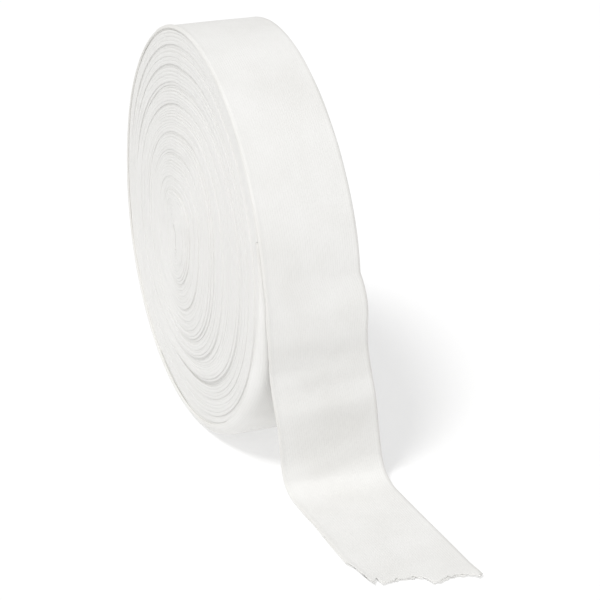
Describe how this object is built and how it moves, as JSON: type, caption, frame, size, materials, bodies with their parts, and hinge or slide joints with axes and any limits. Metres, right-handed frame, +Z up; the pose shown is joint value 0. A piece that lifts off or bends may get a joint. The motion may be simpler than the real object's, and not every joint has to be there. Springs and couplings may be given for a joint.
{
  "type": "tubular stockinette roll",
  "caption": "Roll of white tubular cotton stockinette standing on its rim, its flat knitted tube wound in a disc and its cut loose end hanging down on the floor.",
  "frame": {"origin": "middle of the small flat spot that the roll stands on", "axes": "+Z up, +X the way the loose end runs on the floor, Y along the winding axis with -Y out of the near face of the turns"},
  "size_m": [0.3131, 0.0726, 0.212],
  "materials": {
    "cotton_knit": "matt white cotton stocking knit, a flattened tube in two thicknesses"
  },
  "bodies": {
    "root": {"wound_roll": "cotton_knit", "loose_end": "cotton_knit"}
  },
  "joints": []
}
